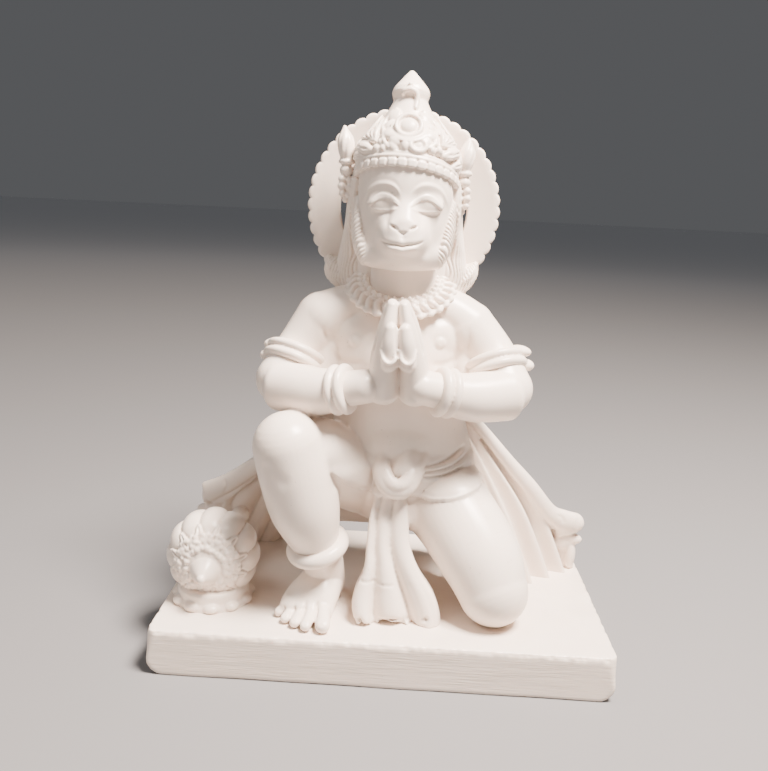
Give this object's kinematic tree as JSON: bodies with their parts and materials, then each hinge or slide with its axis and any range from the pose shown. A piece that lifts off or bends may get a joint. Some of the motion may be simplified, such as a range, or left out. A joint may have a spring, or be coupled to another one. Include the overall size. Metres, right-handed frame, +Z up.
{
  "type": "hanuman figure",
  "caption": "Carved white marble statue of a kneeling monkey-faced deity with joined hands, crown, ring halo, spread shawl and lobed mace, in one block with its plinth.",
  "frame": {"origin": "middle of the plinth's flat underside", "axes": "+Z up, +Y from the figure's front to its back, +X to the viewer's right when facing the figure"},
  "size_m": [0.355, 0.215, 0.457],
  "materials": {
    "marble": "polished white marble, slightly translucent, sawn on the plinth's front"
  },
  "bodies": {
    "root": {"hanuman_figure": "marble"}
  },
  "joints": []
}
